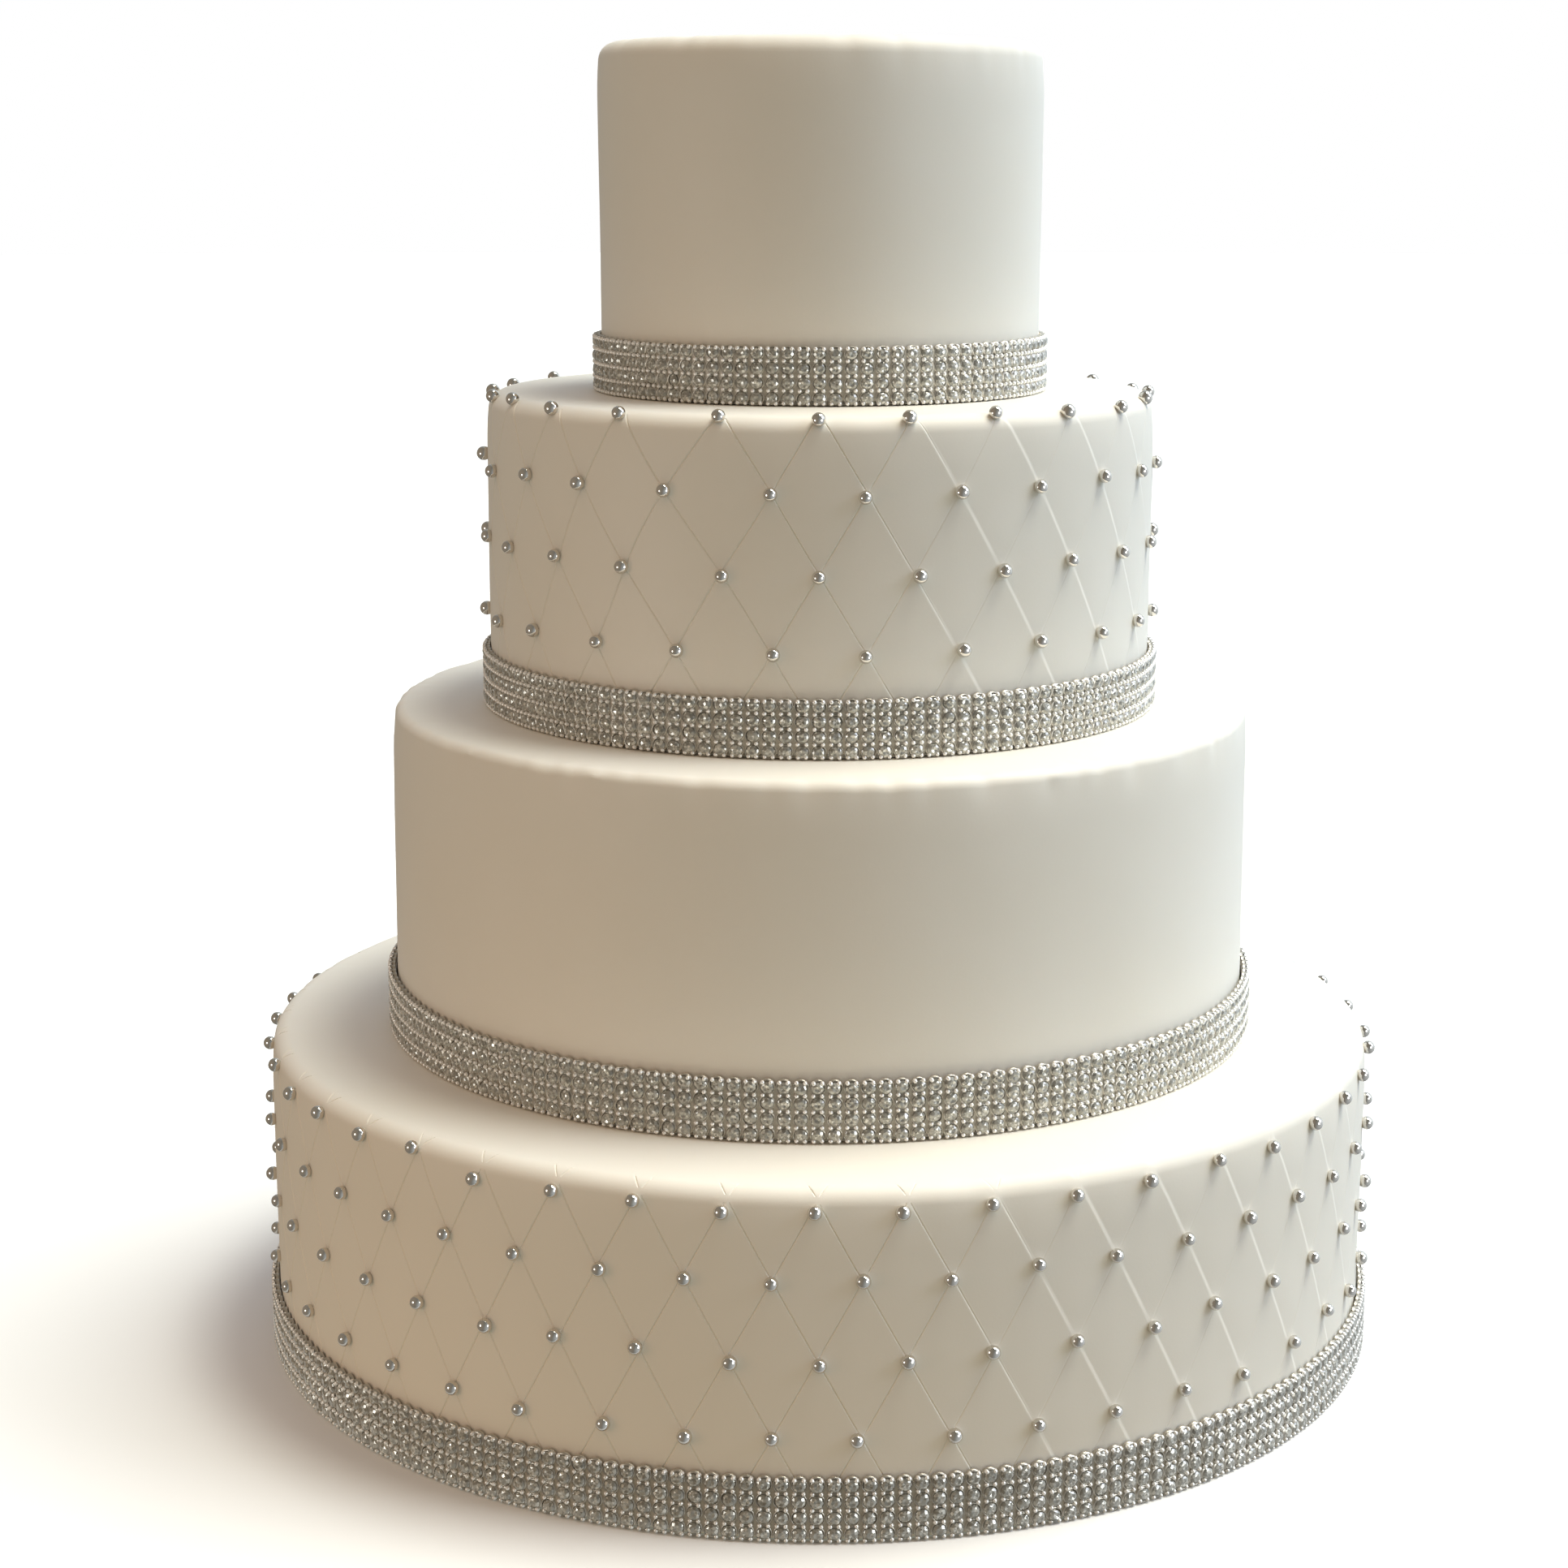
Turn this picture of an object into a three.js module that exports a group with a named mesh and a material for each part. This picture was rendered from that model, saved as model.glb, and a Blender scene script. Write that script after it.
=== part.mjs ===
// A wedding cake of four round tiers, stacked directly on each other and iced in smooth white fondant.
// The base tier and the upper tier are quilted: creases cross the icing in diamonds, and a silver dragee
// sits on each crossing. A four-row band of rhinestones runs round the foot of every tier.
// The cake stands on the floor plane with its axis on +Z. Azimuth 0 is the front, towards -Y, and
// azimuth grows towards +X.

import * as THREE from 'three';

// Driving dimensions, in millimetres.
const CLEARANCE = 0.3; // air between pieces that rest on or against each other
const BAND_THICKNESS = 3.4; // from the icing out to the faces of the stones
const BAND_ROWS = 4; // rows of stones in a band
const DRAGEE_RADIUS = 2.4;
const DRAGEE_RISE = 2.0; // from the icing out to the centre of a dragee
const CREASE_DEPTH = 0.6; // how far the icing is pressed in where two creases cross
const CROSSING_HEIGHTS = [8, 33.5, 59, 84.5, 107.5]; // along the wall, from the foot of a quilted tier
const HIDDEN_CROSSINGS = 1; // lowest rows, behind the band, which carry no dragees

// From the lowest tier up. quiltColumns is the number of diamonds round a quilted tier, and 0 is plain.
const TIERS = [
  {
    name: 'base',
    bottomRadius: 197.2,
    topRadius: 197.2,
    height: 113.2,
    edgeRadius: 6,
    quiltColumns: 45,
    stoneRowPitch: 5.4,
  },
  {
    name: 'lower',
    bottomRadius: 152.2,
    topRadius: 151.2,
    height: 115.5,
    edgeRadius: 3,
    quiltColumns: 0,
    stoneRowPitch: 5.2,
  },
  {
    name: 'upper',
    bottomRadius: 116,
    topRadius: 116,
    height: 108.5,
    edgeRadius: 6,
    quiltColumns: 24,
    stoneRowPitch: 4.9,
  },
  {
    name: 'top',
    bottomRadius: 75.8,
    topRadius: 76.4,
    height: 117.3,
    edgeRadius: 5,
    quiltColumns: 0,
    stoneRowPitch: 4.8,
  },
];

// How finely the round forms are cut.
const ROUND_SEGMENTS = 60; // round a plain tier or a band
const EDGE_STEPS = 3; // in the rounded top edge of a plain tier
const DRAGEE_SIDES = 5; // round a dragee

const QUARTER_TURN = Math.PI / 2;
const SIDE_ANGLE = (2 * Math.PI) / DRAGEE_SIDES;

const fondant = new THREE.MeshStandardMaterial({ color: 0xf3efe6, roughness: 0.55, metalness: 0 });
const rhinestone = new THREE.MeshStandardMaterial({ color: 0xb4b3ab, roughness: 0.25, metalness: 0.7 });

// A solid or ring of revolution about +Z, from its profile of [radius, height] points.
function turned(profile) {
  const points = profile.map(([radius, height]) => new THREE.Vector2(radius, height));
  return new THREE.LatheGeometry(points, ROUND_SEGMENTS).rotateX(QUARTER_TURN);
}

// A plain tier: a turned solid whose top edge is rounded over.
function plainTier(tier, foot) {
  const { bottomRadius, topRadius, height, edgeRadius } = tier;
  const profile = [
    [0, foot],
    [bottomRadius, foot],
  ];
  for (let step = 0; step <= EDGE_STEPS; step += 1) {
    const turn = (QUARTER_TURN * step) / EDGE_STEPS;
    const inward = edgeRadius * (1 - Math.cos(turn));
    const down = edgeRadius * (1 - Math.sin(turn));
    profile.push([topRadius - inward, height - down]);
  }
  profile.push([0, height]);
  return turned(profile);
}

// A band: a turned ring round the foot of a tier. A polygon's flats lie inside its corners, so the inner
// corners are set out far enough for the flats to clear the icing.
function band(tier) {
  const inner = (tier.bottomRadius + CLEARANCE) / Math.cos(Math.PI / ROUND_SEGMENTS);
  const outer = tier.bottomRadius + BAND_THICKNESS;
  const top = CLEARANCE + BAND_ROWS * tier.stoneRowPitch;
  return turned([
    [inner, CLEARANCE],
    [outer, CLEARANCE],
    [outer, top],
    [inner, top],
    [inner, CLEARANCE],
  ]);
}

// Where a quilted tier's skin is at a distance along its wall and over its rounded edge, with the
// direction that the skin faces: both as [outward, upward].
function skinAt(tier, distance) {
  const straight = tier.height - tier.edgeRadius;
  const turn = Math.min(Math.max((distance - straight) / tier.edgeRadius, 0), QUARTER_TURN);
  const facing = [Math.cos(turn), Math.sin(turn)];
  const outward = tier.topRadius - tier.edgeRadius + tier.edgeRadius * facing[0];
  const upward = Math.min(distance, straight) + tier.edgeRadius * facing[1];
  return { place: [outward, upward], facing };
}

// The rows of the quilt's grid, from the foot to the flat top: creased rows hold the crossings, and
// beaded rows carry dragees on them.
function quiltRows(tier, foot) {
  const skinEnd = tier.height - tier.edgeRadius + tier.edgeRadius * QUARTER_TURN;
  const lastCrossing = CROSSING_HEIGHTS[CROSSING_HEIGHTS.length - 1];
  const crossings = CROSSING_HEIGHTS.map((distance, row) => ({
    distance,
    creased: true,
    beaded: row >= HIDDEN_CROSSINGS,
  }));
  return [
    { distance: foot, creased: false, beaded: false },
    ...crossings,
    { distance: (lastCrossing + skinEnd) / 2, creased: false, beaded: false },
    { distance: skinEnd, creased: false, beaded: false },
  ];
}

// A quilted tier with its dragees, as one closed skin. The skin is a grid of corners, two columns to a
// diamond. Every second corner is a crossing, pressed in, and the rest are the crowns of the diamonds.
// Each cell is split between its two crossings, so its split is a crease.
function quiltedTier(tier, foot) {
  const columns = 2 * tier.quiltColumns;
  const columnWidth = (2 * Math.PI * tier.bottomRadius) / columns;
  const rows = quiltRows(tier, foot);
  const vertices = [];
  const faces = [];

  const addVertex = (vector) => vertices.push(vector) - 1;
  const isCrossing = (column, row) => (column + row) % 2 === 1;

  // The frame of the skin at a corner: its place, and its east, up and outward directions.
  function frameAt(column, row) {
    const azimuth = (2 * Math.PI * column) / columns;
    const radial = new THREE.Vector3(Math.sin(azimuth), -Math.cos(azimuth), 0);
    const vertical = new THREE.Vector3(0, 0, 1);
    const { place, facing } = skinAt(tier, rows[row].distance);
    const mix = (outward, upward) =>
      radial.clone().multiplyScalar(outward).addScaledVector(vertical, upward);
    return {
      place: mix(place[0], place[1]),
      east: new THREE.Vector3(Math.cos(azimuth), Math.sin(azimuth), 0),
      up: mix(-facing[1], facing[0]),
      outward: mix(facing[0], facing[1]),
    };
  }

  // A ring of a dragee's corners, at a height above its centre. Each ring is turned by half a side from
  // the ring under it.
  function dragRing(frame, ringNumber, height) {
    const radius = Math.sqrt(DRAGEE_RADIUS ** 2 - height ** 2);
    const ring = [];
    for (let side = 0; side < DRAGEE_SIDES; side += 1) {
      const angle = QUARTER_TURN + SIDE_ANGLE * (side + ringNumber / 2);
      const vertex = frame.place
        .clone()
        .addScaledVector(frame.outward, DRAGEE_RISE + height)
        .addScaledVector(frame.east, radius * Math.cos(angle))
        .addScaledVector(frame.up, radius * Math.sin(angle));
      ring.push(addVertex(vertex));
    }
    return ring;
  }

  // A dragee is the upper part of an icosahedron, and the lowest ring is its foot in the icing.
  function addDragee(frame) {
    const belt = DRAGEE_RADIUS / Math.sqrt(DRAGEE_SIDES);
    const heights = [-DRAGEE_RISE, -belt, belt];
    const rings = heights.map((height, number) => dragRing(frame, number, height));
    const tip = addVertex(
      frame.place.clone().addScaledVector(frame.outward, DRAGEE_RISE + DRAGEE_RADIUS),
    );
    for (let side = 0; side < DRAGEE_SIDES; side += 1) {
      const next = (side + 1) % DRAGEE_SIDES;
      for (let level = 0; level + 1 < rings.length; level += 1) {
        const [under, over] = [rings[level], rings[level + 1]];
        faces.push([under[side], under[next], over[side]]);
        faces.push([under[next], over[next], over[side]]);
      }
      const last = rings[rings.length - 1];
      faces.push([last[side], last[next], tip]);
    }
    return rings[0];
  }

  // A corner's feet are the vertices that the icing's faces reach it by: the foot of its dragee, or
  // itself alone.
  function makeCorner(column, row) {
    const frame = frameAt(column, row);
    const pressed = isCrossing(column, row) && rows[row].creased;
    if (pressed) frame.place.addScaledVector(frame.outward, -CREASE_DEPTH);
    const feet = pressed && rows[row].beaded ? addDragee(frame) : [addVertex(frame.place)];
    return { column, row, feet };
  }

  const grid = rows.map((_, row) =>
    Array.from({ length: columns }, (__, column) => makeCorner(column, row)),
  );
  const cornerAt = (column, row) => grid[row][column % columns];

  // The number of the foot of one corner that lies nearest to another corner.
  function footToward(corner, other) {
    const half = columns / 2;
    const apart = ((other.column - corner.column + columns + half) % columns) - half;
    const rise = rows[other.row].distance - rows[corner.row].distance;
    const angle = Math.atan2(rise, apart * columnWidth) - QUARTER_TURN;
    const count = corner.feet.length;
    return (Math.round((angle * count) / (2 * Math.PI)) + count) % count;
  }

  // The feet of a corner that a face passes on its way from one neighbour to the next.
  function feetPassed(corner, from, to) {
    const count = corner.feet.length;
    const end = footToward(corner, to);
    let foot = footToward(corner, from);
    const passed = [corner.feet[foot]];
    while (foot !== end) {
      foot = (foot + count - 1) % count;
      passed.push(corner.feet[foot]);
    }
    return passed;
  }

  // Half of a cell: the crown of a diamond and two crossings, in order round the face.
  function addHalfCell(crown, first, second) {
    const rim = [...feetPassed(first, crown, second), ...feetPassed(second, first, crown)];
    for (let step = 0; step + 1 < rim.length; step += 1) {
      faces.push([crown.feet[0], rim[step], rim[step + 1]]);
    }
  }

  for (let row = 0; row + 1 < rows.length; row += 1) {
    for (let column = 0; column < columns; column += 1) {
      const westLow = cornerAt(column, row);
      const eastLow = cornerAt(column + 1, row);
      const eastHigh = cornerAt(column + 1, row + 1);
      const westHigh = cornerAt(column, row + 1);
      if (isCrossing(column, row)) {
        addHalfCell(eastLow, eastHigh, westLow);
        addHalfCell(westHigh, westLow, eastHigh);
      } else {
        addHalfCell(westLow, eastLow, westHigh);
        addHalfCell(eastHigh, westHigh, eastLow);
      }
    }
  }

  // The flat foot and the flat top.
  const footCentre = addVertex(new THREE.Vector3(0, 0, foot));
  const topCentre = addVertex(new THREE.Vector3(0, 0, tier.height));
  for (let column = 0; column < columns; column += 1) {
    const lowest = [cornerAt(column, 0), cornerAt(column + 1, 0)];
    const highest = [cornerAt(column, rows.length - 1), cornerAt(column + 1, rows.length - 1)];
    faces.push([footCentre, lowest[1].feet[0], lowest[0].feet[0]]);
    faces.push([topCentre, highest[0].feet[0], highest[1].feet[0]]);
  }

  const geometry = new THREE.BufferGeometry().setFromPoints(vertices);
  geometry.setIndex(faces.flat());
  geometry.computeVertexNormals();
  return geometry;
}

function namedMesh(name, geometry, material) {
  const mesh = new THREE.Mesh(geometry, material);
  mesh.name = name;
  return mesh;
}

// The cake, built from the base up. Each tier and its band share one group, set on the tier below.
const cake = new THREE.Group();
let level = 0;
for (const tier of TIERS) {
  const foot = level > 0 ? CLEARANCE : 0;
  const icing = tier.quiltColumns > 0 ? quiltedTier(tier, foot) : plainTier(tier, foot);
  const stack = new THREE.Group();
  stack.position.z = level;
  stack.add(namedMesh(`${tier.name}_tier`, icing, fondant));
  stack.add(namedMesh(`${tier.name}_band`, band(tier), rhinestone));
  cake.add(stack);
  level += tier.height;
}

export default cake;
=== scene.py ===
"""Dresses a tiered wedding cake with fondant, silver dragees and rhinestone bands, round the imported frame.

Places come from the frame and are in metres. Azimuth 0 is the front of the cake, towards -Y, and azimuth
grows towards +X. A place on a tier's skin is an azimuth and a distance, measured up the wall from the
tier's foot and then over its rounded top edge.
"""

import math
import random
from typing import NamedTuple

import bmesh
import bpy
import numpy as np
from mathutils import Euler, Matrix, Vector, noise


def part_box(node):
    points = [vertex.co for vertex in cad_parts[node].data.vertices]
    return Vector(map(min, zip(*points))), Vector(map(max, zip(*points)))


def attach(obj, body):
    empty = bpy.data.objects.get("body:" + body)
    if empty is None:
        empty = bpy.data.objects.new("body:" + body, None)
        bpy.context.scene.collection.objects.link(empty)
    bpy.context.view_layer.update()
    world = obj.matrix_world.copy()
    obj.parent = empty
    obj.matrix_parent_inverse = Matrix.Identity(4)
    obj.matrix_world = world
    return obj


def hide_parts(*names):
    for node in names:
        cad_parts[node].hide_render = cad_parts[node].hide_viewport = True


bl_info = {
    "name": "Tiered Wedding Cake",
    "version": (1, 0, 0),
    "blender": (4, 5, 0),
    "location": "View3D > Sidebar > Cake",
    "description": "Builds the fondant, dragees and rhinestone bands of a tiered wedding cake, and its stage",
    "category": "Add Mesh",
}

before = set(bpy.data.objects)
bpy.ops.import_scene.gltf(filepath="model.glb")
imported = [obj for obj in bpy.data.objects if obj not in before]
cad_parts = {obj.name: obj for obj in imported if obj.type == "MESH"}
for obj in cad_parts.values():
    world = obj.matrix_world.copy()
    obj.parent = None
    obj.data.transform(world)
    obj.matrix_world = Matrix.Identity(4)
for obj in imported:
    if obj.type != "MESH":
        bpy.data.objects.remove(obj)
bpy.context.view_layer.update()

MM = 0.001
BODY = "root"
SEED = 4154

CLEARANCE = 0.3 * MM  # air between two tiers, and between a band and the icing
BAND_THICKNESS = 3.4 * MM
BAND_ROWS = 4
ROW_STEP = 25.5 * MM  # height of half a diamond
TOP_CROSSING = 110 * MM  # distance of the highest row of crossings, which lies on the rounded edge
LEAN = math.radians(6.0)  # how far a wall has leant inwards where its rounded top edge begins
LEAN_HEIGHT = 14 * MM  # height of wall over which it comes to lean so far
BEADED_ROWS = 4


class Tier:
    """One tier: its places in the frame, and what the frame doesn't say about it."""

    def __init__(self, name, above, flare, edge, rim_wander, diamonds, stones):
        self.name = name
        self.flare = flare  # how much wider its top radius is than its foot's
        self.edge = edge  # radius of the rounded top edge
        self.rim_wander = rim_wander  # how far that edge strays from a true circle
        self.diamonds = diamonds  # round a quilted tier, and 0 round a plain one
        self.stones = stones  # round one row of its band
        tier_low, tier_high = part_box(f"{name}_tier")
        band_low, band_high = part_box(f"{name}_band")
        self.foot = tier_low.z
        self.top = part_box(f"{above}_tier")[0].z - CLEARANCE if above else tier_high.z
        self.level = band_low.z - CLEARANCE  # of what it stands on
        self.radius = (band_high.x - band_low.x) / 2 - BAND_THICKNESS
        self.band_foot = band_low.z
        self.row = (band_high.z - band_low.z) / BAND_ROWS
        self.straight = self.top - self.level - edge * (1 - math.sin(LEAN))  # where the rounded edge begins
        self.length = self.straight + edge * (math.pi / 2 - LEAN)  # distance at which the flat top begins
        self.seed = SEED + stones  # a random stream of its own


TIERS = (
    Tier("base", "lower", 0.0, 6.0 * MM, 0.3 * MM, 45, 231),
    Tier("lower", "upper", -1.0 * MM, 4.0 * MM, 0.8 * MM, 0, 182),
    Tier("upper", "top", 0.0, 6.0 * MM, 0.3 * MM, 24, 140),
    Tier("top", None, 0.6 * MM, 6.5 * MM, 0.5 * MM, 0, 95),
)


def linear(hex_colour):
    """Turns an sRGB hex value such as F4F1E9 into linear red, green and blue."""
    channels = [int(hex_colour[i : i + 2], 16) / 255 for i in (0, 2, 4)]
    return tuple(c / 12.92 if c <= 0.04045 else ((c + 0.055) / 1.055) ** 2.4 for c in channels)


def smooth_step(value, start, end):
    """0 before start, 1 after end, and a smooth rise between them."""
    share = np.clip((value - start) / (end - start), 0.0, 1.0)
    return share * share * (3 - 2 * share)


# ---------------------------------------------------------------- settings


class FondantSettings(bpy.types.PropertyGroup):
    """The rolled icing and the quilting pressed into it."""

    colour: bpy.props.FloatVectorProperty(
        name="Fondant", description="Colour of the icing", subtype="COLOR", size=3, default=linear("F4F1E8")
    )
    shade: bpy.props.FloatVectorProperty(
        name="Fondant shade", description="Second colour, that clouds the first a little",
        subtype="COLOR", size=3, default=linear("EFEADD"),
    )
    unevenness: bpy.props.FloatProperty(
        name="Unevenness", description="How far the hand-smoothed icing wanders from true",
        default=0.35 * MM, min=0.0, unit="LENGTH",
    )
    crease_width: bpy.props.FloatProperty(
        name="Crease width", description="Width of the creases pressed into the icing",
        default=0.7 * MM, unit="LENGTH",
    )
    crease_depth: bpy.props.FloatProperty(
        name="Crease depth", description="Depth of a crease that is a plain notch",
        default=0.42 * MM, unit="LENGTH",
    )
    step_width: bpy.props.FloatProperty(
        name="Step width", description="Width of the slope of a crease that is a step",
        default=1.1 * MM, unit="LENGTH",
    )
    step_height: bpy.props.FloatProperty(
        name="Step height", description="Height of that slope", default=0.26 * MM, unit="LENGTH"
    )


class DrageeSettings(bpy.types.PropertyGroup):
    """The silver balls on the crossings of the quilting."""

    colour: bpy.props.FloatVectorProperty(
        name="Silver coat", description="Colour of the silver coat", subtype="COLOR", size=3,
        default=linear("DEDAD3"),
    )
    diameter: bpy.props.FloatProperty(
        name="Diameter", description="Usual diameter of a dragee", default=4.7 * MM, unit="LENGTH"
    )
    spread: bpy.props.FloatProperty(
        name="Spread", description="How much a diameter may differ from the usual one",
        default=0.25 * MM, unit="LENGTH",
    )
    stray: bpy.props.FloatProperty(
        name="Stray", description="How far most dragees may stray from their crossing",
        default=1.6 * MM, unit="LENGTH",
    )
    rise: bpy.props.FloatProperty(
        name="Rise", description="Height of a dragee's centre over the icing",
        default=1.34 * MM, unit="LENGTH",
    )


class BandSettings(bpy.types.PropertyGroup):
    """The ribbon of rhinestones round the foot of each tier."""

    # the lit and dim crystal colours are the ends of the facets' painted reflections; the dim one also paints
    # the skirt's shade
    crystal: bpy.props.FloatVectorProperty(
        name="Crystal", description="Colour of a stone's lit facets", subtype="COLOR", size=3,
        default=linear("E6E5DC"),
    )
    crystal_shade: bpy.props.FloatVectorProperty(
        name="Crystal shade", description="Colour of a stone's dim facets", subtype="COLOR", size=3,
        default=linear("5E5C52"),
    )
    cups: bpy.props.FloatVectorProperty(
        name="Cups", description="Colour of the cups", subtype="COLOR", size=3, default=linear("C6C0B4")
    )
    # the prongs' tips are painted whiter than the cups' silver, as a painted highlight
    prongs: bpy.props.FloatVectorProperty(
        name="Prongs", description="Colour of the prongs' tips", subtype="COLOR", size=3,
        default=linear("FFFEFA"),
    )
    ribbon: bpy.props.FloatVectorProperty(
        name="Ribbon", description="Colour of the ribbon behind the cups", subtype="COLOR", size=3,
        default=linear("B5AFA2"),
    )


class StageSettings(bpy.types.PropertyGroup):
    """The floor, the lights and the camera."""

    floor: bpy.props.FloatVectorProperty(
        name="Floor", description="Colour of the floor", subtype="COLOR", size=3, default=linear("F4F4F2")
    )
    camera_place: bpy.props.FloatVectorProperty(
        name="Camera place", description="Where the camera stands", subtype="XYZ", size=3, unit="LENGTH",
        default=(0.0, -1.02107, 0.41669),
    )
    camera_pitch: bpy.props.FloatProperty(
        name="Camera pitch", description="How far the camera looks down", subtype="ANGLE",
        default=math.radians(12.22),
    )
    camera_turn: bpy.props.FloatProperty(
        name="Camera turn", description="How far the camera is turned to its left", subtype="ANGLE",
        default=math.radians(0.7),
    )
    lens: bpy.props.FloatProperty(
        name="Lens", description="Focal length on a sensor 36 mm wide", default=66.62, unit="CAMERA"
    )


# ---------------------------------------------------------------- materials


MIX_A, MIX_B, MIX_RESULT = 6, 7, 2  # the colour sockets of a Mix node, which shares their names with others


def add_node(tree, kind, inputs=None, **settings):
    """Adds a node. An input is given a value, or the socket that feeds it."""
    made = tree.nodes.new(kind)
    for name, value in settings.items():
        setattr(made, name, value)
    for name, value in (inputs or {}).items():
        if isinstance(value, bpy.types.NodeSocket):
            tree.links.new(value, made.inputs[name])
        else:
            made.inputs[name].default_value = value
    return made


def new_material(name):
    """An empty node material, with its node tree."""
    material = bpy.data.materials.new(name)
    material.use_nodes = True
    material.node_tree.nodes.clear()
    return material, material.node_tree


def opaque(colour):
    """A colour with the alpha that a colour socket wants."""
    return (*colour, 1.0)


def rolled_fondant(settings):
    """Sugar paste, rolled out and smoothed by hand: matt and softly lit, with a faint grain and clouding."""
    material, tree = new_material("rolled_fondant")
    cloud_size, grain_size, dent_size = 0.07, 0.9 * MM, 0.022
    place = add_node(tree, "ShaderNodeTexCoord").outputs["Object"]
    clouds = add_node(
        tree, "ShaderNodeTexNoise", {"Vector": place, "Scale": 1 / cloud_size, "Detail": 3.0}
    )
    colour = add_node(
        tree, "ShaderNodeMix",
        {"Factor": clouds.outputs["Fac"], MIX_A: opaque(settings.colour), MIX_B: opaque(settings.shade)},
        data_type="RGBA",
    )
    grain = add_node(tree, "ShaderNodeTexNoise", {"Vector": place, "Scale": 1 / grain_size, "Detail": 2.0})
    dents = add_node(tree, "ShaderNodeTexNoise", {"Vector": place, "Scale": 1 / dent_size, "Detail": 1.0})
    grain_bump = add_node(
        tree, "ShaderNodeBump", {"Height": grain.outputs["Fac"], "Strength": 0.35, "Distance": 0.05 * MM}
    )
    dent_bump = add_node(
        tree, "ShaderNodeBump",
        {
            "Height": dents.outputs["Fac"],
            "Strength": 0.3,
            "Distance": 0.4 * MM,
            "Normal": grain_bump.outputs[0],
        },
    )
    polish = add_node(
        tree, "ShaderNodeMapRange", {"Value": clouds.outputs["Fac"], "To Min": 0.46, "To Max": 0.6}
    )
    shader = add_node(
        tree, "ShaderNodeBsdfPrincipled",
        {
            "Base Color": colour.outputs[MIX_RESULT],
            "Roughness": polish.outputs[0],
            "IOR": 1.45,
            "Specular IOR Level": 0.4,
            "Subsurface Weight": 0.05,
            "Subsurface Radius": (2.2 * MM, 1.6 * MM, 1.2 * MM),
            "Subsurface Scale": 1.0,
            "Normal": dent_bump.outputs[0],
        },
    )
    add_node(tree, "ShaderNodeOutputMaterial", {"Surface": shader.outputs[0]})
    return material


def silvered_sugar(settings):
    """Sugar balls coated in silver and tumbled in a pan: mirror bright, but a little lumpy."""
    material, tree = new_material("silvered_sugar")
    lump_size = 1.4 * MM
    place = add_node(tree, "ShaderNodeTexCoord").outputs["Object"]
    lumps = add_node(tree, "ShaderNodeTexNoise", {"Vector": place, "Scale": 1 / lump_size, "Detail": 1.5})
    bump = add_node(
        tree, "ShaderNodeBump", {"Height": lumps.outputs["Fac"], "Strength": 0.25, "Distance": 0.12 * MM}
    )
    polish = add_node(
        tree, "ShaderNodeMapRange", {"Value": lumps.outputs["Fac"], "To Min": 0.03, "To Max": 0.1}
    )
    shader = add_node(
        tree, "ShaderNodeBsdfPrincipled",
        {
            "Base Color": opaque(settings.colour),
            "Metallic": 1.0,
            "Roughness": polish.outputs[0],
            "Normal": bump.outputs[0],
        },
    )
    add_node(tree, "ShaderNodeOutputMaterial", {"Surface": shader.outputs[0]})
    return material


def foiled_crystal(settings):
    """Clear crystal, cut and backed with foil: each facet is a flat mirror under gloss, and its tone is a
    painted reflection, or a painted glint where it is bright.
    """
    material, tree = new_material("foil_backed_crystal")
    # each facet's tone is a painted reflection, and a painted glint where it is bright
    tone = add_node(tree, "ShaderNodeAttribute", attribute_name="facet_painted_reflection")
    colour = add_node(
        tree, "ShaderNodeMix",
        {
            "Factor": tone.outputs["Fac"],
            MIX_A: opaque(settings.crystal_shade),
            MIX_B: opaque(settings.crystal),
        },
        data_type="RGBA",
    )
    shader = add_node(
        tree, "ShaderNodeBsdfPrincipled",
        {
            "Base Color": colour.outputs[MIX_RESULT],
            "Metallic": 0.45,
            "Roughness": 0.12,
            "Coat Weight": 1.0,
            "Coat Roughness": 0.02,
            "Coat IOR": 1.55,
        },
    )
    add_node(tree, "ShaderNodeOutputMaterial", {"Surface": shader.outputs[0]})
    return material


def plated_silver(name, colour, dullest, metallic):
    """Brass, stamped and silver plated: bright, with a polish that comes and goes.

    Made less metallic and whiter, as on the prongs' tips, it paints a highlight.
    """
    material, tree = new_material(name)
    wear_size = 2.5 * MM
    place = add_node(tree, "ShaderNodeTexCoord").outputs["Object"]
    wear = add_node(tree, "ShaderNodeTexNoise", {"Vector": place, "Scale": 1 / wear_size, "Detail": 2.0})
    polish = add_node(
        tree, "ShaderNodeMapRange",
        {"Value": wear.outputs["Fac"], "To Min": dullest * 0.6, "To Max": dullest},
    )
    shader = add_node(
        tree, "ShaderNodeBsdfPrincipled",
        {"Base Color": opaque(colour), "Metallic": metallic, "Roughness": polish.outputs[0]},
    )
    add_node(tree, "ShaderNodeOutputMaterial", {"Surface": shader.outputs[0]})
    return material


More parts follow.
